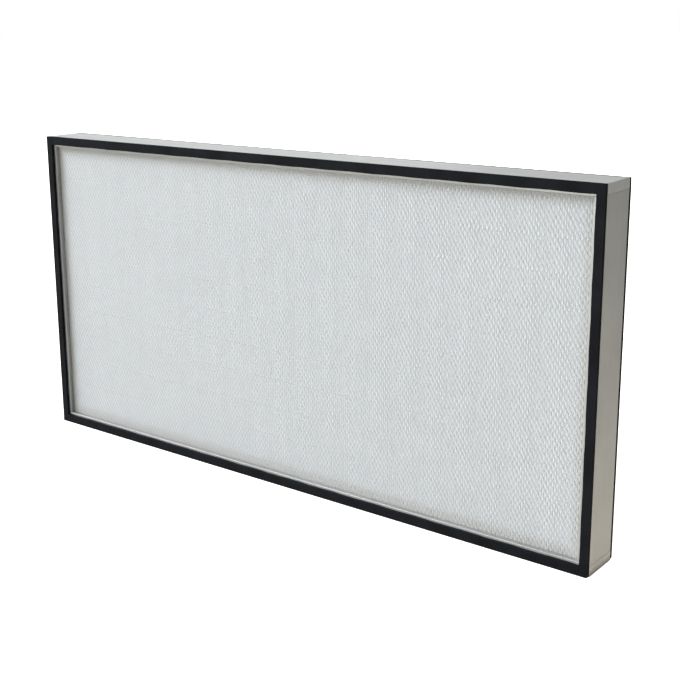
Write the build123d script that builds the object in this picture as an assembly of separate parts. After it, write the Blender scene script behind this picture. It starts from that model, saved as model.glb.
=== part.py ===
from build123d import *
import math
import os

# HEPA filter panel, 4 ft by 2 ft nominal, standing on its long edge.
# Millimetres. X runs along the long edge, Y from the front face to the rear face, Z up.
# The origin is at the centre of the bottom, on the surface that the panel stands on.

# Overall sizes
PANEL_LENGTH = 1220.0
PANEL_HEIGHT = 610.0
FRAME_DEPTH = 75.0

# Aluminium frame profile
WALL = 1.6
BOX_WIDTH = 16.5
LIP_REACH = 3.5
LIP_RETURN = 7.5
OUTER_EDGE_RADIUS = 1.5
LIP_EDGE_RADIUS = 0.5
JOINT_CHAMFER = 0.35

# Corner keys inside the box profile
KEY_LEG = 48.0
KEY_WALL = 2.4
KEY_SIDE_CLEARANCE = 0.1

# Face guards of expanded metal
GUARD_THICKNESS = 1.5
GUARD_EDGE_CLEARANCE = 0.5
GUARD_RIM = 3.0
MESH_SHORT_PITCH = 7.94
MESH_LONG_PITCH = 13.5
# The mesh is drawn this many times coarser than the real one, so that its openings stay countable.
MESH_COARSENESS = 12.0
STRAND_WIDTH = 5.0

# Pleated media pack and the glue lines that hold its pleats apart
MEDIA_THICKNESS = 0.4
PLEAT_PITCH = 4.3
BEAD_HEIGHT = 0.5
BEAD_WIDTH = 2.0
BEAD_PITCH = 54.5

# Sealant between the pack and the frame
POTTING_THICKNESS = 4.0

# Sponge gaskets, one set on each face
GASKET_WIDTH = 15.0
GASKET_THICKNESS = 6.0
GASKET_EDGE_RADIUS = 0.6
GASKET_CORNER_RADIUS = 3.5

# Worked out from the sizes above
MID_HEIGHT = PANEL_HEIGHT / 2
FRONT = -FRAME_DEPTH / 2
FLANGE_WIDTH = BOX_WIDTH + LIP_REACH
CHAMBER = BOX_WIDTH - 2 * WALL
CHAMBER_DEPTH = FRAME_DEPTH - 2 * WALL
SIDE_BAR_LENGTH = PANEL_HEIGHT - 2 * BOX_WIDTH
GUARD_LENGTH = PANEL_LENGTH - 2 * (BOX_WIDTH + GUARD_EDGE_CLEARANCE)
GUARD_HEIGHT = PANEL_HEIGHT - 2 * (BOX_WIDTH + GUARD_EDGE_CLEARANCE)
GUARD_FRONT = FRONT + LIP_RETURN
POTTING_DEPTH = FRAME_DEPTH - 2 * (LIP_RETURN + GUARD_THICKNESS)
PACK_DEPTH = POTTING_DEPTH - 2 * BEAD_HEIGHT
PACK_LENGTH = PANEL_LENGTH - 2 * (BOX_WIDTH + POTTING_THICKNESS)
PACK_HEIGHT = PANEL_HEIGHT - 2 * (BOX_WIDTH + POTTING_THICKNESS)

# Each side of the panel: the turn that brings a bottom bar there, and its distance from the middle
SIDES = {
    "bottom": (0, PANEL_HEIGHT / 2),
    "left": (90, PANEL_LENGTH / 2),
    "top": (180, PANEL_HEIGHT / 2),
    "right": (270, PANEL_LENGTH / 2),
}


def on_side(side, bar):
    """Carry a bar drawn along X, with its outer face at Z = 0, to one side of the panel."""
    turn, reach = SIDES[side]
    middle = Pos(0, 0, MID_HEIGHT)
    return middle * Rot(0, turn, 0) * Pos(0, 0, -reach) * bar


def along_x(section, length):
    """Extrude a section drawn with X as depth and Y as height into a bar centred on X = 0."""
    start = Plane(origin=(-length / 2, 0, 0), x_dir=(0, 1, 0), z_dir=(1, 0, 0))
    return extrude(start * section, length)


def slab(length, depth, height, y=0.0, z=0.0):
    """A block centred on X = 0 and on the given Y, standing on the given Z."""
    return Pos(0, y, z) * Box(length, depth, height, align=(Align.CENTER, Align.CENTER, Align.MIN))


def box_section():
    """The closed box of the profile, hollow, with its two outer edges rounded."""
    low = (Align.CENTER, Align.MIN)
    outline = Rectangle(FRAME_DEPTH, BOX_WIDTH, align=low)
    outer_corners = outline.vertices().group_by(Axis.Y)[0]
    outline = fillet(outer_corners, OUTER_EDGE_RADIUS)
    return outline - Pos(0, WALL) * Rectangle(CHAMBER_DEPTH, CHAMBER, align=low)


def lip_section():
    """The front lip: a plate in line with the front wall, turned back to hold the guard."""
    low = (Align.MIN, Align.MIN)
    plate = Pos(FRONT, BOX_WIDTH) * Rectangle(WALL, LIP_REACH, align=low)
    turned_back = Pos(FRONT, FLANGE_WIDTH - WALL) * Rectangle(LIP_RETURN, WALL, align=low)
    lip = plate + turned_back
    front_corner = lip.vertices().group_by(Axis.Y)[-1].sort_by(Axis.X)[0]
    return fillet(front_corner, LIP_EDGE_RADIUS)


def profile_bar(length, lip_length):
    """One length of the frame profile. Its lips are cut back where they meet the next bar."""
    bar = along_x(box_section(), length)
    for end in (-1, 1):
        end_face = bar.faces().sort_by(Axis.X)[end if end < 0 else 0]
        bar = chamfer(end_face.outer_wire().edges(), JOINT_CHAMFER)
    lip = along_x(lip_section(), lip_length)
    return bar + lip + mirror(lip, Plane.XZ)


def long_bar():
    """Top or bottom profile, full length, with a window at each end for the key's upright leg."""
    bar = profile_bar(PANEL_LENGTH, PANEL_LENGTH - 2 * BOX_WIDTH)
    window_x = PANEL_LENGTH / 2 - BOX_WIDTH / 2
    for end in (-1, 1):
        window = slab(CHAMBER, CHAMBER_DEPTH, WALL, z=BOX_WIDTH - WALL)
        bar -= Pos(end * window_x, 0, 0) * window
    return bar


def side_bar():
    """Left or right profile, standing between the long bars."""
    return profile_bar(SIDE_BAR_LENGTH, PANEL_HEIGHT - 2 * FLANGE_WIDTH)


def corner_key():
    """Angle key of the bottom right corner: its end closes the long bar flush with its end."""
    inner = BOX_WIDTH - WALL
    reach = BOX_WIDTH + KEY_LEG
    outline = Polyline(
        (0, WALL), (reach, WALL), (reach, inner), (inner, inner),
        (inner, reach), (WALL, reach), (WALL, inner), (0, inner), close=True,
    )
    section = make_face(outline)
    low = (Align.MIN, Align.MIN)
    pocket = Rectangle(KEY_LEG - KEY_WALL, CHAMBER - 2 * KEY_WALL, align=low)
    lying = Pos(BOX_WIDTH, WALL + KEY_WALL) * pocket
    upright = Pos(inner - KEY_WALL, BOX_WIDTH) * Rot(0, 0, 90) * pocket
    section = section - lying - upright
    depth = CHAMBER_DEPTH - 2 * KEY_SIDE_CLEARANCE
    outer_corner = Plane(origin=(PANEL_LENGTH / 2, -depth / 2, 0), x_dir=(-1, 0, 0), z_dir=(0, 1, 0))
    return extrude(outer_corner * section, depth)


def corner_keys():
    """The same key at the four corners."""
    bottom_right = corner_key()
    bottom_left = mirror(bottom_right, Plane.YZ)
    mid_plane = Plane(origin=(0, 0, MID_HEIGHT), z_dir=(0, 0, 1))
    return {
        "corner_key_bottom_right": bottom_right,
        "corner_key_bottom_left": bottom_left,
        "corner_key_top_right": mirror(bottom_right, mid_plane),
        "corner_key_top_left": mirror(bottom_left, mid_plane),
    }


def mesh_openings(length, height):
    """Diamond openings in staggered rows, long way upright, cut off at the guard's rim."""
    columns = round(length / (MESH_SHORT_PITCH * MESH_COARSENESS))
    rows = round(height / (MESH_LONG_PITCH * MESH_COARSENESS))
    pitch_x = length / columns
    pitch_z = height / rows
    half_x = pitch_x / 2
    half_z = pitch_z / 2
    strand_offset = STRAND_WIDTH / 2 * math.hypot(half_x, half_z) / (half_x * half_z)
    open_x = half_x * (1 - strand_offset)
    open_z = half_z * (1 - strand_offset)
    diamond = make_face(Polyline((open_x, 0), (0, open_z), (-open_x, 0), (0, -open_z), close=True))
    inside = Rectangle(length, height)
    openings = []
    for column in range(2 * columns + 1):
        for row in range(2 * rows + 1):
            x = column * half_x - length / 2
            z = row * half_z - height / 2
            at_edge = column in (0, 2 * columns) or row in (0, 2 * rows)
            if (column + row) % 2 == 0:
                opening = Pos(x, z) * diamond
                openings.append(opening & inside if at_edge else opening)
    return openings


def guard():
    """Expanded-metal guard, drawn flat on the front face of the pack."""
    rim = 2 * GUARD_RIM
    sheet = Rectangle(GUARD_LENGTH, GUARD_HEIGHT)
    mesh = sheet - mesh_openings(GUARD_LENGTH - rim, GUARD_HEIGHT - rim)
    front_plane = Plane(origin=(0, GUARD_FRONT, MID_HEIGHT), x_dir=(1, 0, 0), z_dir=(0, -1, 0))
    return extrude(front_plane * mesh, -GUARD_THICKNESS)


def pleat_outline():
    """Section of the folded paper: flat folds outside, sharp folds inside, a straight end panel."""
    pleats = round(PACK_LENGTH / PLEAT_PITCH)
    half_pitch = (PACK_LENGTH - 2 * MEDIA_THICKNESS) / (2 * pleats)
    end = PACK_LENGTH / 2
    tip = PACK_DEPTH / 2
    inner_fold = tip - MEDIA_THICKNESS
    front_side = [(-end, tip), (-end, -tip)]
    rear_side = [(-end + MEDIA_THICKNESS, tip), (-end + MEDIA_THICKNESS, -inner_fold)]
    for fold in range(1, 2 * pleats):
        x = MEDIA_THICKNESS - end + fold * half_pitch
        rear_fold = fold % 2 == 1
        outer = [(x - MEDIA_THICKNESS, tip), (x + MEDIA_THICKNESS, tip)]
        if rear_fold:
            front_side.append((x, inner_fold))
            rear_side.extend(outer)
        else:
            front_side.extend((px, -py) for px, py in outer)
            rear_side.append((x, -inner_fold))
    first_front_fold = (-end + 2 * MEDIA_THICKNESS, -tip)
    last_front_fold = (end - 2 * MEDIA_THICKNESS, -tip)
    front_side.insert(2, first_front_fold)
    front_side.extend([last_front_fold, (end, -tip), (end, tip)])
    rear_side.extend([(end - MEDIA_THICKNESS, -inner_fold), (end - MEDIA_THICKNESS, tip)])
    return front_side + rear_side[::-1]


def media_pack():
    """Pleated glass-fibre paper, its folds upright, one folded sheet from end to end."""
    section = make_face(Polyline(*pleat_outline(), close=True))
    return Pos(0, 0, MID_HEIGHT - PACK_HEIGHT / 2) * extrude(section, PACK_HEIGHT)


def separator_beads():
    """Hot-melt lines across the front folds, one solid each."""
    lines = int(PACK_HEIGHT / 2 / BEAD_PITCH)
    y = -PACK_DEPTH / 2 - BEAD_HEIGHT / 2
    beads = []
    for line in range(-lines, lines + 1):
        z = MID_HEIGHT + line * BEAD_PITCH - BEAD_WIDTH / 2
        beads.append(slab(PACK_LENGTH, BEAD_HEIGHT, BEAD_WIDTH, y, z))
    return Compound(beads)


def potting_bar(length):
    """Sealant that bonds one edge of the pack to the inner wall of a profile."""
    return slab(length, POTTING_DEPTH, POTTING_THICKNESS, z=BOX_WIDTH)


def gasket_strip(length):
    """Front gasket strip along a side, with the edges of its sealing face just rounded."""
    y = FRONT - GASKET_THICKNESS / 2
    strip = slab(length, GASKET_THICKNESS, GASKET_WIDTH, y)
    sealing_face = strip.faces().sort_by(Axis.Y)[0]
    long_edges = sealing_face.edges().filter_by(Axis.X)
    return fillet(long_edges, GASKET_EDGE_RADIUS)


def trimmed_right_strip():
    """The right strip, whose bottom outer corner is trimmed round as on the real panel."""
    strip = on_side("right", gasket_strip(PANEL_HEIGHT))
    margin = 2 * GASKET_CORNER_RADIUS
    right = PANEL_LENGTH / 2
    square = Box(GASKET_CORNER_RADIUS, margin + GASKET_THICKNESS, GASKET_CORNER_RADIUS)
    y = FRONT - GASKET_THICKNESS / 2
    half = GASKET_CORNER_RADIUS / 2
    corner = Pos(right - half, y, half) * square
    post = Cylinder(GASKET_CORNER_RADIUS, 2 * margin + GASKET_THICKNESS, rotation=(90, 0, 0))
    rounded = Pos(right - GASKET_CORNER_RADIUS, y, GASKET_CORNER_RADIUS) * post
    return strip - (corner - rounded)


def front_gaskets():
    """Side strips run the full height and the long strips butt between them."""
    between = PANEL_LENGTH - 2 * GASKET_WIDTH
    return {
        "left": on_side("left", gasket_strip(PANEL_HEIGHT)),
        "right": trimmed_right_strip(),
        "top": on_side("top", gasket_strip(between)),
        "bottom": on_side("bottom", gasket_strip(between)),
    }


def build_panel():
    """Every piece of the panel, by the name of its node."""
    pieces = {}
    for side in ("top", "bottom"):
        pieces["frame_" + side] = on_side(side, long_bar())
        pieces["potting_" + side] = on_side(side, potting_bar(PANEL_LENGTH - 2 * BOX_WIDTH))
    for side in ("left", "right"):
        pieces["frame_" + side] = on_side(side, side_bar())
        pieces["potting_" + side] = on_side(side, potting_bar(PACK_HEIGHT))
    pieces.update(corner_keys())
    for side, strip in front_gaskets().items():
        pieces["gasket_front_" + side] = strip
        pieces["gasket_rear_" + side] = mirror(strip, Plane.XZ)
    pieces["guard_front"] = guard()
    pieces["guard_rear"] = mirror(pieces["guard_front"], Plane.XZ)
    pieces["media_pack"] = media_pack()
    pieces["separator_beads_front"] = separator_beads()
    pieces["separator_beads_rear"] = mirror(pieces["separator_beads_front"], Plane.XZ)
    return pieces


os.makedirs("parts", exist_ok=True)
for node, piece in build_panel().items():
    export_step(piece, "parts/" + node + ".step")
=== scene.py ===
import math

import bpy
from mathutils import Euler, Matrix, Vector


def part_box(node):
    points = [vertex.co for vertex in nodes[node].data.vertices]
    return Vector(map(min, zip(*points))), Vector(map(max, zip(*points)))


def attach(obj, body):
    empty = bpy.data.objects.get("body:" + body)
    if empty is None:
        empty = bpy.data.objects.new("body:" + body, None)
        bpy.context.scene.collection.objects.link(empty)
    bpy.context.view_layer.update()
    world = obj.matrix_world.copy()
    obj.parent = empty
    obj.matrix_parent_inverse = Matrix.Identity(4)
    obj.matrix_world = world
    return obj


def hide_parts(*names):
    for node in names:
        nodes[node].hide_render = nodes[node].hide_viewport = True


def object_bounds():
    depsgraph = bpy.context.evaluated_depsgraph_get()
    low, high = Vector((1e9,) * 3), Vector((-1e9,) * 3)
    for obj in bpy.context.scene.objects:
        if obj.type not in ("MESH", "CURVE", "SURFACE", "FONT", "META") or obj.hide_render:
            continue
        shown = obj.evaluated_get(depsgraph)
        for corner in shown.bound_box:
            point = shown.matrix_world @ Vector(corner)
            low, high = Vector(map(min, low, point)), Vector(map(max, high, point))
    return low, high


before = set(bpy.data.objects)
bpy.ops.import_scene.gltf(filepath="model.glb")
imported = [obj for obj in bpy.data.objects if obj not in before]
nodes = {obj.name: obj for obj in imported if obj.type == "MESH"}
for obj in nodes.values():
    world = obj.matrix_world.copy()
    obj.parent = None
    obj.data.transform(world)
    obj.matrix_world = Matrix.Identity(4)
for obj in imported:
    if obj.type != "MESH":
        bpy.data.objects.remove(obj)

# HEPA filter panel: its finishes, the guards' real mesh, the folded paper and the sponge strips.
# Metres. The front face looks along -Y and the panel stands on its long edge.

MM = 0.001
SAME_PLACE = 0.01 * MM

# Expanded metal of the guards
MESH_SHORT_PITCH = 7.94 * MM
MESH_LONG_PITCH = 13.5 * MM
STRAND_RADIUS = 0.75 * MM
STRAND_FLATNESS = 0.6
STRAND_WIDTH = 1.3 * MM
STRAND_TILT = math.radians(8)

# Folded fibre sheet
PLEAT_PITCH = 4.3 * MM
SHEET_THICKNESS = 0.4 * MM
FOLD_HALF_WIDTH = 1.92 * MM
FOLD_DEPTH = 0.08 * MM
FOLD_STEPS = 5
SMOOTH_ANGLE = math.radians(50)
# Width of the painted shade along the filter pack's edges
EDGE_SHADE_WIDTH = 25 * MM

# Sponge strips
STRIP_CUTS = 48
STRIP_BEVEL_SEGMENTS = 2
STRIP_BEVEL = 0.4 * MM
STRIP_WAVE = 0.4 * MM
STRIP_WAVE_LENGTH = 90 * MM
LONG_STRIP_SPREAD = 1.2 * MM
CORNER_TRIM = 3.5 * MM
CORNER_SEGMENTS = 5

# The photograph's view
PHOTO_PIXELS = 680
CAMERA_PLACE = (1.3310, -1.6270, 0.8562)
CAMERA_PITCH, CAMERA_YAW, CAMERA_ROLL = (math.radians(turn) for turn in (-13.678, 38.983, -0.722))
CAMERA_LENS = 63.40
CAMERA_SHIFT = (40 / PHOTO_PIXELS, -39.75 / PHOTO_PIXELS)

# Studio
FLOOR_SIZE = 60
FLOOR_DROP = 0.2 * MM
COOL = (0.95, 0.98, 1.0)
WARM = (1.0, 0.91, 0.76)

# Each light: name, place, the point it looks at, size, power in watts, colour
LIGHTS = (
    ("key upper left", (-12.6, -8.0, 10.8), (0, 0, 0.3), (13.5, 9.0), 6000, COOL),
    ("front fill", (-0.5, -7.0, 1.2), (0, 0, 0.3), (5.0, 2.2), 130, COOL),
    ("back left", (-2.8, 2.6, 1.0), (0, 0, 0.6), (3.0, 1.0), 22, COOL),
    ("overhead", (-0.3, 0.8, 4.0), (-0.3, 0.8, 0), (3.0, 3.0), 75, COOL),
    ("low behind", (-1.9, 4.5, 0.3), (-1.9, 0, 0.3), (5.0, 0.55), 110, COOL),
    ("low light right", (0.90, 0.25, 0.0005), (0.90, 0.25, 1.0), (0.57, 1.1), 0.6, WARM),
    ("foot light right", (0.71, 0.1, 0.001), (0.71, 0.1, 1.0), (0.18, 0.8), 0.18, WARM),
)

cad_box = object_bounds()


def select_only(piece):
    """Leave one object selected and active, so that an operator acts on nothing else."""
    bpy.ops.object.select_all(action="DESELECT")
    piece.select_set(True)
    bpy.context.view_layer.objects.active = piece


def place_in_mesh(piece):
    """Move the object's place, turn and size into its mesh."""
    select_only(piece)
    bpy.ops.object.transform_apply(location=True, rotation=True, scale=True)


def apply_modifiers(piece):
    select_only(piece)
    for modifier in list(piece.modifiers):
        bpy.ops.object.modifier_apply(modifier=modifier.name)


def repeat_along(piece, pitch, count):
    """Repeat the piece along the panel's length, and give back the modifier that does it."""
    repeat = piece.modifiers.new("repeat", "ARRAY")
    repeat.use_relative_offset = False
    repeat.use_constant_offset = True
    repeat.constant_offset_displace = (pitch, 0, 0)
    repeat.count = count
    return repeat


def face_outward(piece):
    """Turn every face of the piece outward."""
    select_only(piece)
    bpy.ops.object.mode_set(mode="EDIT")
    bpy.ops.mesh.select_all(action="SELECT")
    bpy.ops.mesh.normals_make_consistent(inside=False)
    bpy.ops.object.mode_set(mode="OBJECT")


def extrude_along(steps):
    """Draw the selected edge or face on by each step in turn."""
    for step in steps:
        bpy.ops.mesh.extrude_region_move(TRANSFORM_OT_translate={"value": step})


def select_edges(piece, wanted):
    """Select the edges whose two ends satisfy a test, and leave the piece in edit mode."""
    select_only(piece)
    bpy.ops.object.mode_set(mode="EDIT")
    bpy.ops.mesh.select_mode(type="EDGE")
    bpy.ops.mesh.select_all(action="DESELECT")
    bpy.ops.object.mode_set(mode="OBJECT")
    for edge in piece.data.edges:
        first, second = (piece.data.vertices[index].co for index in edge.vertices)
        edge.select = wanted(first, second)
    bpy.ops.object.mode_set(mode="EDIT")


def hand_over(piece, name, node, material):
    """Name a finished piece, let it stand for its CAD node and give it its finish."""
    piece.name = name
    piece.data.materials.clear()
    piece.data.materials.append(material)
    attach(piece, "root")
    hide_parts(node)


# Shader groups

def shader_group(name, inputs, outputs):
    """An empty shader group with its named sockets and its two end nodes."""
    group = bpy.data.node_groups.new(name, "ShaderNodeTree")
    for label, kind, value in inputs:
        socket = group.interface.new_socket(label, in_out="INPUT", socket_type=kind)
        socket.default_value = value
    for label, kind in outputs:
        group.interface.new_socket(label, in_out="OUTPUT", socket_type=kind)
    start = group.nodes.new("NodeGroupInput")
    end = group.nodes.new("NodeGroupOutput")
    return group, start, end


def grain_group():
    """Noise in the object's own coordinates, drawn out along an axis, as a mask from 0 to 1."""
    group, start, end = shader_group(
        "grain",
        [
            ("Scale", "NodeSocketFloat", 100.0),
            ("Detail", "NodeSocketFloat", 2.0),
            ("Stretch", "NodeSocketVector", (1.0, 1.0, 1.0)),
            ("Low", "NodeSocketFloat", 0.3),
            ("High", "NodeSocketFloat", 0.7),
        ],
        [("Mask", "NodeSocketFloat")],
    )
    link = group.links.new
    place = group.nodes.new("ShaderNodeTexCoord")
    drawn = group.nodes.new("ShaderNodeVectorMath")
    drawn.operation = "MULTIPLY"
    noise = group.nodes.new("ShaderNodeTexNoise")
    spread = group.nodes.new("ShaderNodeMapRange")
    link(place.outputs["Object"], drawn.inputs[0])
    link(start.outputs["Stretch"], drawn.inputs[1])
    link(drawn.outputs[0], noise.inputs["Vector"])
    link(start.outputs["Scale"], noise.inputs["Scale"])
    link(start.outputs["Detail"], noise.inputs["Detail"])
    link(noise.outputs["Fac"], spread.inputs["Value"])
    link(start.outputs["Low"], spread.inputs["From Min"])
    link(start.outputs["High"], spread.inputs["From Max"])
    link(spread.outputs["Result"], end.inputs["Mask"])
    return group


def pore_group():
    """Round pores of a closed-cell sponge, as a mask that is 1 on the skin and 0 in a pore."""
    group, start, end = shader_group(
        "pores",
        [
            ("Scale", "NodeSocketFloat", 900.0),
            ("Size", "NodeSocketFloat", 0.35),
        ],
        [("Mask", "NodeSocketFloat")],
    )
    link = group.links.new
    place = group.nodes.new("ShaderNodeTexCoord")
    cells = group.nodes.new("ShaderNodeTexVoronoi")
    spread = group.nodes.new("ShaderNodeMapRange")
    link(place.outputs["Object"], cells.inputs["Vector"])
    link(start.outputs["Scale"], cells.inputs["Scale"])
    link(cells.outputs["Distance"], spread.inputs["Value"])
    link(start.outputs["Size"], spread.inputs["From Max"])
    link(spread.outputs["Result"], end.inputs["Mask"])
    return group


def edge_group():
    """Nearness to the outline of an upright panel, as a mask from 0 at its edge to 1 inside."""
    group, start, end = shader_group(
        "edge",
        [
            ("Reach", "NodeSocketFloat", 0.5),
            ("Bottom", "NodeSocketFloat", 0.0),
            ("Top", "NodeSocketFloat", 0.5),
            ("Width", "NodeSocketFloat", 0.03),
        ],
        [("Mask", "NodeSocketFloat")],
    )
    link = group.links.new

    def calculate(operation, first, second=None):
        node = group.nodes.new("ShaderNodeMath")
        node.operation = operation
        link(first, node.inputs[0])
        if second:
            link(second, node.inputs[1])
        return node.outputs[0]

    place = group.nodes.new("ShaderNodeTexCoord")
    axes = group.nodes.new("ShaderNodeSeparateXYZ")
    link(place.outputs["Object"], axes.inputs[0])
    from_middle = calculate("ABSOLUTE", axes.outputs["X"])
    from_side = calculate("SUBTRACT", start.outputs["Reach"], from_middle)
    from_bottom = calculate("SUBTRACT", axes.outputs["Z"], start.outputs["Bottom"])
    from_top = calculate("SUBTRACT", start.outputs["Top"], axes.outputs["Z"])
    nearest = calculate("MINIMUM", from_side, calculate("MINIMUM", from_bottom, from_top))
    spread = group.nodes.new("ShaderNodeMapRange")
    spread.interpolation_type = "SMOOTHSTEP"
    link(nearest, spread.inputs["Value"])
    link(start.outputs["Width"], spread.inputs["From Max"])
    link(spread.outputs["Result"], end.inputs["Mask"])
    return group


GRAIN = grain_group()
PORES = pore_group()
EDGE = edge_group()


class Finish:
    """A material with one Principled shader, and short calls for what feeds it."""

    def __init__(self, name, colour, roughness, metallic=0.0, specular=0.5):
        self.material = bpy.data.materials.new(name)
        self.material.use_nodes = True
        self.tree = self.material.node_tree
        self.shader = self.tree.nodes["Principled BSDF"]
        self.shader.inputs["Base Color"].default_value = (*colour, 1.0)
        self.shader.inputs["Roughness"].default_value = roughness
        self.shader.inputs["Metallic"].default_value = metallic
        self.shader.inputs["Specular IOR Level"].default_value = specular

    def mask(self, group, **values):
        node = self.tree.nodes.new("ShaderNodeGroup")
        node.node_tree = group
        for label, value in values.items():
            node.inputs[label].default_value = value
        return node.outputs["Mask"]

    def colour_from(self, low, mask):
        """Feed the base colour from low where the mask is 0, and give back the end at 1."""
        mix = self.tree.nodes.new("ShaderNodeMix")
        mix.data_type = "RGBA"
        mix.inputs["A"].default_value = (*low, 1.0)
        self.tree.links.new(mask, mix.inputs["Factor"])
        self.tree.links.new(mix.outputs["Result"], self.shader.inputs["Base Color"])
        return mix.inputs["B"]

    def colour_between(self, mask, low, high):
        self.colour_from(low, mask).default_value = (*high, 1.0)

    def colour_outside(self, mask, colour):
        """Lay a colour where the mask is 0 and keep the colours so far where it is 1."""
        so_far = self.shader.inputs["Base Color"].links[0].from_socket
        self.tree.links.new(so_far, self.colour_from(colour, mask))

    def roughness_between(self, mask, low, high):
        spread = self.tree.nodes.new("ShaderNodeMapRange")
        spread.inputs["To Min"].default_value = low
        spread.inputs["To Max"].default_value = high
        self.tree.links.new(mask, spread.inputs["Value"])
        self.tree.links.new(spread.outputs["Result"], self.shader.inputs["Roughness"])

    def bump(self, *layers):
        """Each layer is a mask, its height in metres and its strength, laid over the last."""
        normal = None
        for mask, height, strength in layers:
            node = self.tree.nodes.new("ShaderNodeBump")
            node.inputs["Distance"].default_value = height
            node.inputs["Strength"].default_value = strength
            self.tree.links.new(mask, node.inputs["Height"])
            if normal:
                self.tree.links.new(normal, node.inputs["Normal"])
            normal = node.outputs["Normal"]
        self.tree.links.new(normal, self.shader.inputs["Normal"])


def anodised(name, stretch, tone=1.0):
    """Natural anodised extrusion: satin, with die lines along its length and faint clouding. A tone
    below 1 darkens a copy of this one metal as painted shade, and a tone above 1 lightens it as a
    painted highlight.
    """
    base = (0.47 * tone, 0.47 * tone, 0.462 * tone)
    pale = (0.51 * tone, 0.51 * tone, 0.502 * tone)
    finish = Finish(name, base, 0.52, metallic=0.85)
    clouds = finish.mask(GRAIN, Scale=9.0, Detail=4.0, Low=0.35, High=0.65)
    die_lines = finish.mask(GRAIN, Scale=1.0, Detail=3.0, Stretch=stretch, Low=0.35, High=0.65)
    etch = finish.mask(GRAIN, Scale=2600.0, Detail=2.0)
    finish.colour_between(clouds, base, pale)
    finish.roughness_between(die_lines, 0.47, 0.60)
    finish.bump((die_lines, 0.03 * MM, 0.25), (etch, 0.02 * MM, 0.3))
    return finish.material


def powder_coat():
    """White powder coat on the guard's strands."""
    white = (0.455, 0.472, 0.49)
    finish = Finish("white powder coat", white, 0.55, specular=0.3)
    orange_peel = finish.mask(GRAIN, Scale=1400.0, Detail=1.0)
    tone = finish.mask(GRAIN, Scale=6.0, Detail=2.0)
    finish.colour_between(tone, (0.44, 0.457, 0.475), white)
    finish.roughness_between(orange_peel, 0.42, 0.58)
    finish.bump((orange_peel, 0.05 * MM, 0.2))
    return finish.material


def edge_shade_mask(finish):
    """1 on the pack's middle and 0 at its edges, where painted shade darkens and warms the colour
    beside the frame.
    """
    low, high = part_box("media_pack")
    return finish.mask(EDGE, Reach=high.x, Bottom=low.z, Top=high.z, Width=EDGE_SHADE_WIDTH)


def fibre_paper():
    """Matte glass-fibre paper with a felted surface, with painted shade darkening it towards its
    edges.
    """
    white = (0.67, 0.685, 0.70)
    finish = Finish("glass fibre paper", white, 0.95, specular=0.15)
    fibres = finish.mask(GRAIN, Scale=1800.0, Detail=5.0)
    clouds = finish.mask(GRAIN, Scale=30.0, Detail=3.0)
    finish.colour_between(clouds, white, (0.69, 0.705, 0.72))
    # Painted shade: darker, warmer paper beside the frame's edges
    finish.colour_outside(edge_shade_mask(finish), (0.51, 0.50, 0.47))
    finish.roughness_between(fibres, 0.9, 1.0)
    finish.bump((fibres, 0.08 * MM, 0.2))
    return finish.material


def hot_melt():
    """Set glue, a little glossier than the paper and lighter than it: painted light that offsets
    the shade under the beads.
    """
    finish = Finish("hot melt glue", (0.72, 0.735, 0.745), 0.7)
    swell = finish.mask(GRAIN, Scale=120.0, Detail=2.0)
    finish.colour_between(swell, (0.705, 0.72, 0.73), (0.735, 0.75, 0.76))
    # Painted shade: darker, warmer glue beside the frame's edges
    finish.colour_outside(edge_shade_mask(finish), (0.53, 0.52, 0.49))
    finish.bump((swell, 0.3 * MM, 0.4))
    return finish.material


def sealant():
    """Cured cream sealant with a few bubbles."""
    finish = Finish("cured sealant", (0.42, 0.40, 0.36), 0.5)
    bubbles = finish.mask(PORES, Scale=260.0, Size=0.2)
    finish.colour_between(bubbles, (0.33, 0.31, 0.28), (0.44, 0.42, 0.38))
    finish.bump((bubbles, 0.3 * MM, 0.5))
    return finish.material


def sponge_rubber():
    """Black closed-cell sponge: a dull skin full of fine pores."""
    finish = Finish("black sponge rubber", (0.0075, 0.008, 0.0095), 0.9, specular=0.06)
    pores = finish.mask(PORES, Scale=950.0, Size=0.45)
    bloom = finish.mask(GRAIN, Scale=22.0, Detail=3.0, Low=0.35, High=0.75)
    finish.colour_between(bloom, (0.0058, 0.0063, 0.0076), (0.0098, 0.0108, 0.0134))
    finish.roughness_between(pores, 0.95, 0.75)
    finish.bump((pores, 0.25 * MM, 0.7), (bloom, 0.2 * MM, 0.2))
    return finish.material


def studio_floor():
    """A floor that looks plain white but throws back less light than it shows."""
    finish = Finish("pale studio floor", (0.60, 0.57, 0.51), 0.9, specular=0.0)
    rays = finish.tree.nodes.new("ShaderNodeLightPath")
    finish.shader.inputs["Emission Color"].default_value = (1.0, 1.0, 1.0, 1.0)
    finish.tree.links.new(rays.outputs["Is Camera Ray"], finish.shader.inputs["Emission Strength"])
    return finish.material


# Guards

def strand(x, y, low, high, step_x, tilt):
    """One zigzag strand: a three-sided bar extruded up in short leaning steps."""
    segments = round((high.z - low.z) / (MESH_LONG_PITCH / 2))
    step_z = (high.z - low.z) / segments
    bpy.ops.mesh.primitive_circle_add(
        vertices=3, radius=STRAND_RADIUS, fill_type="NGON",
        location=(x, y, low.z), rotation=(0, 0, tilt),
    )
    piece = bpy.context.object
    piece.scale.y = STRAND_FLATNESS
    place_in_mesh(piece)
    bpy.ops.object.mode_set(mode="EDIT")
    bpy.ops.mesh.select_all(action="SELECT")
    extrude_along(
        (step_x if segment % 2 == 0 else -step_x, 0, step_z) for segment in range(segments)
    )
    bpy.ops.object.mode_set(mode="OBJECT")
    face_outward(piece)
    return piece


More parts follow.
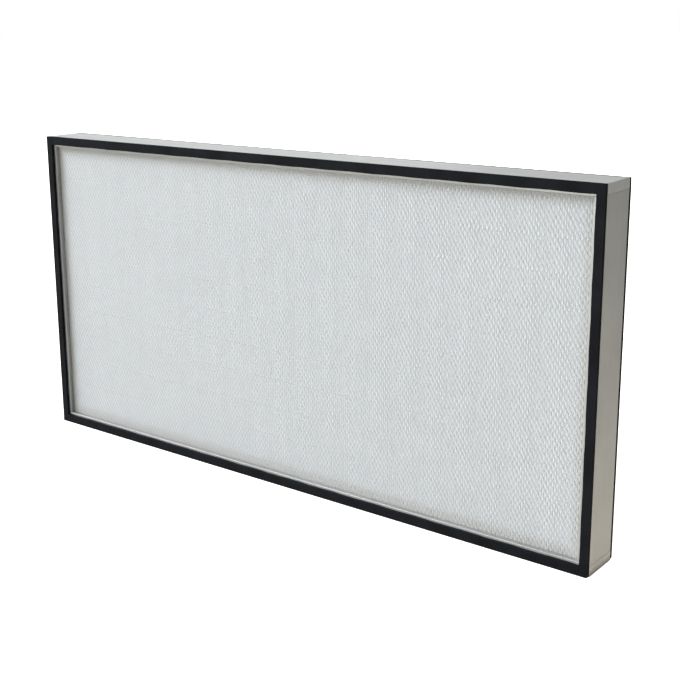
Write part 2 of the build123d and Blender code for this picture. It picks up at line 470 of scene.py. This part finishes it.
def guard(node, outward, material):
    """Expanded metal: pairs of zigzag strands that meet at the bonds, repeated along the panel."""
    low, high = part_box(node)
    columns = round((high.x - low.x) / MESH_SHORT_PITCH)
    pitch = (high.x - low.x) / columns
    half = pitch / 2
    bond = STRAND_WIDTH / 2
    step_x = half - 2 * bond
    y = (low.y + high.y) / 2
    # The strands turn their flat side outward.
    tilt = STRAND_TILT + math.pi if outward > 0 else STRAND_TILT
    leaning_right = strand(low.x + bond, y, low, high, step_x, tilt)
    leaning_left = strand(low.x + pitch - bond, y, low, high, -step_x, tilt)
    select_only(leaning_right)
    leaning_left.select_set(True)
    bpy.ops.object.join()
    repeat_along(leaning_right, pitch, columns)
    apply_modifiers(leaning_right)
    hand_over(leaning_right, "expanded_" + node, node, material)


# Filter pack

def fold_steps(start, turn):
    """The short straight steps that carry an edge half way round a flattened fold."""
    angles = [start + turn * index / FOLD_STEPS for index in range(FOLD_STEPS + 1)]
    around = [
        Vector((FOLD_HALF_WIDTH * math.cos(angle), FOLD_DEPTH * math.sin(angle), 0))
        for angle in angles
    ]
    return [after - before for before, after in zip(around, around[1:])]


def folded_sheet(node, material):
    """One sheet folded to and fro: a pleat drawn out from its flank, repeated and thickened."""
    low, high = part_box(node)
    pleats = round((high.x - low.x) / PLEAT_PITCH)
    pitch = (high.x - low.x - SHEET_THICKNESS) / pleats
    margin = SHEET_THICKNESS / 2 + FOLD_DEPTH
    lean = pitch / 2 - 2 * FOLD_HALF_WIDTH
    flank = Vector((lean, high.y - low.y - 2 * margin, 0))
    rear_end = Vector((low.x + SHEET_THICKNESS / 2, high.y - margin, (low.z + high.z) / 2))
    front_end = rear_end + Vector((lean, -flank.y, 0))
    bpy.ops.mesh.primitive_plane_add(
        size=1, location=(rear_end + front_end) / 2,
        rotation=(math.pi / 2, 0, math.atan2(-flank.y, lean)),
    )
    piece = bpy.context.object
    piece.scale = (flank.length, high.z - low.z, 1)
    place_in_mesh(piece)
    select_edges(piece, lambda first, second: first.y < 0 and second.y < 0)
    extrude_along(fold_steps(math.pi, math.pi))
    extrude_along([flank])
    extrude_along(fold_steps(math.pi, -math.pi))
    bpy.ops.object.mode_set(mode="OBJECT")
    repeat = repeat_along(piece, pitch, pleats)
    repeat.use_merge_vertices = True
    repeat.merge_threshold = SAME_PLACE
    thicken = piece.modifiers.new("thicken", "SOLIDIFY")
    thicken.thickness = SHEET_THICKNESS
    thicken.offset = 0.0
    apply_modifiers(piece)
    face_outward(piece)
    bpy.ops.object.shade_smooth_by_angle(angle=SMOOTH_ANGLE)
    hand_over(piece, "folded_" + node, node, material)


# Gaskets

def gasket_strip(node, material):
    """A sponge strip with softened edges whose inner edge wanders, as a strip laid by hand does."""
    low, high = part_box(node)
    size = high - low
    along = 2 if size.z > size.x else 0
    across = 0 if along == 2 else 2
    middle = (low + high) / 2
    bpy.ops.mesh.primitive_cube_add(size=1, location=middle, scale=size)
    piece = bpy.context.object
    place_in_mesh(piece)
    select_edges(piece, lambda first, second: abs(first[along] - second[along]) > size[along] / 2)
    bpy.ops.mesh.subdivide(number_cuts=STRIP_CUTS)
    bpy.ops.object.mode_set(mode="OBJECT")
    panel_middle = (cad_box[0] + cad_box[1]) / 2
    inward = 1 if panel_middle[across] > middle[across] else -1
    lay_by_hand(piece, along, across, inward, middle)
    if node.endswith("right"):
        trim_bottom_corner(piece, high.x, low.z)
    soften = piece.modifiers.new("soften", "BEVEL")
    soften.width = STRIP_BEVEL
    soften.segments = STRIP_BEVEL_SEGMENTS
    soften.limit_method = "ANGLE"
    apply_modifiers(piece)
    hand_over(piece, "sponge_" + node, node, material)


def lay_by_hand(piece, along, across, inward, middle):
    """Let the inner edge wander slowly, and spread the long strips a little inwards."""
    # Each strip starts the wave elsewhere, so that no two strips wander alike.
    phase = middle.x * 7.0 + middle.z * 11.0
    spread = LONG_STRIP_SPREAD if along == 0 else 0
    for vertex in piece.data.vertices:
        on_inner_edge = (vertex.co[across] - middle[across]) * inward > 0
        if on_inner_edge:
            turn = 2 * math.pi * vertex.co[along] / STRIP_WAVE_LENGTH
            wave = 0.6 * math.sin(turn + phase) + 0.4 * math.sin(2.7 * turn + 2 * phase)
            vertex.co[across] += inward * (spread + STRIP_WAVE * wave)


def trim_bottom_corner(piece, outer_x, bottom_z):
    """Round the outer bottom corner of an upright strip."""
    def at_corner(end):
        return abs(end.x - outer_x) + abs(end.z - bottom_z) < SAME_PLACE

    select_edges(piece, lambda first, second: at_corner(first) and at_corner(second))
    bpy.ops.mesh.bevel(offset=CORNER_TRIM, segments=CORNER_SEGMENTS)
    bpy.ops.object.mode_set(mode="OBJECT")


# Studio

def camera():
    """The photograph's view, fitted to the panel's corners."""
    data = bpy.data.cameras.new("photo camera")
    data.sensor_width = 36.0
    data.lens = CAMERA_LENS
    data.shift_x, data.shift_y = CAMERA_SHIFT
    data.clip_end = 200.0
    seen_from = bpy.data.objects.new("photo camera", data)
    bpy.context.scene.collection.objects.link(seen_from)
    aim = Euler((math.pi / 2 + CAMERA_PITCH, 0, CAMERA_YAW)).to_matrix()
    turn = aim @ Matrix.Rotation(CAMERA_ROLL, 3, "Z")
    seen_from.matrix_world = Matrix.Translation(CAMERA_PLACE) @ turn.to_4x4()
    bpy.context.scene.camera = seen_from


def soft_light(name, place, target, size, power, colour):
    data = bpy.data.lights.new(name, "AREA")
    data.shape = "RECTANGLE"
    data.size, data.size_y = size
    data.energy = power
    data.color = colour
    lamp = bpy.data.objects.new(name, data)
    lamp.visible_camera = False
    bpy.context.scene.collection.objects.link(lamp)
    aim = (Vector(target) - Vector(place)).to_track_quat("-Z", "Y")
    lamp.matrix_world = Matrix.Translation(place) @ aim.to_matrix().to_4x4()


def studio_world():
    """White behind the panel, and a softer even light on it."""
    world = bpy.data.worlds.new("studio")
    world.use_nodes = True
    tree = world.node_tree
    background = tree.nodes["Background"]
    background.inputs["Color"].default_value = (1.0, 1.0, 1.0, 1.0)
    rays = tree.nodes.new("ShaderNodeLightPath")
    strength = tree.nodes.new("ShaderNodeMapRange")
    strength.inputs["To Min"].default_value = 0.25
    strength.inputs["To Max"].default_value = 1.0
    tree.links.new(rays.outputs["Is Camera Ray"], strength.inputs["Value"])
    tree.links.new(strength.outputs["Result"], background.inputs["Strength"])
    bpy.context.scene.world = world


def studio():
    bpy.ops.mesh.primitive_plane_add(size=FLOOR_SIZE, location=(0, 0, cad_box[0].z - FLOOR_DROP))
    floor = bpy.context.object
    floor.name = "studio_floor"
    place_in_mesh(floor)
    floor.data.materials.append(studio_floor())
    studio_world()
    for light in LIGHTS:
        soft_light(*light)
    bpy.context.scene.view_settings.view_transform = "Standard"


def dress_panel():
    """Give each CAD piece its finish, and build the pieces that stand for CAD ones."""
    long_bar = anodised("anodised frame, long bars", (1.0, 700.0, 700.0))
    # The upright bars are a darker copy of the same metal: painted shade on the sides that face
    # away from the light.
    upright_bar_painted_shade = anodised("anodised frame, upright bars, painted shade", (700.0, 700.0, 1.0), tone=0.9)
    # The corner keys are a lighter copy of the same metal: a painted highlight on the frame's ends.
    corner_key = anodised("aluminium corner key, painted highlight", (60.0, 60.0, 60.0), tone=1.06)
    paper, glue, cured, paint, sponge = (
        fibre_paper(), hot_melt(), sealant(), powder_coat(), sponge_rubber()
    )
    finishes = {
        "frame_top": long_bar,
        "frame_bottom": long_bar,
        "frame_left": upright_bar_painted_shade,
        "frame_right": upright_bar_painted_shade,
        "corner_key": corner_key,
        "potting": cured,
        "separator_beads": glue,
    }
    for node, piece in nodes.items():
        for start, finish in finishes.items():
            if node.startswith(start):
                piece.material_slots[0].material = finish
        if node == "media_pack":
            folded_sheet(node, paper)
        elif node.startswith("gasket"):
            gasket_strip(node, sponge)
    guard("guard_front", -1, paint)
    guard("guard_rear", 1, paint)


dress_panel()
camera()
studio()
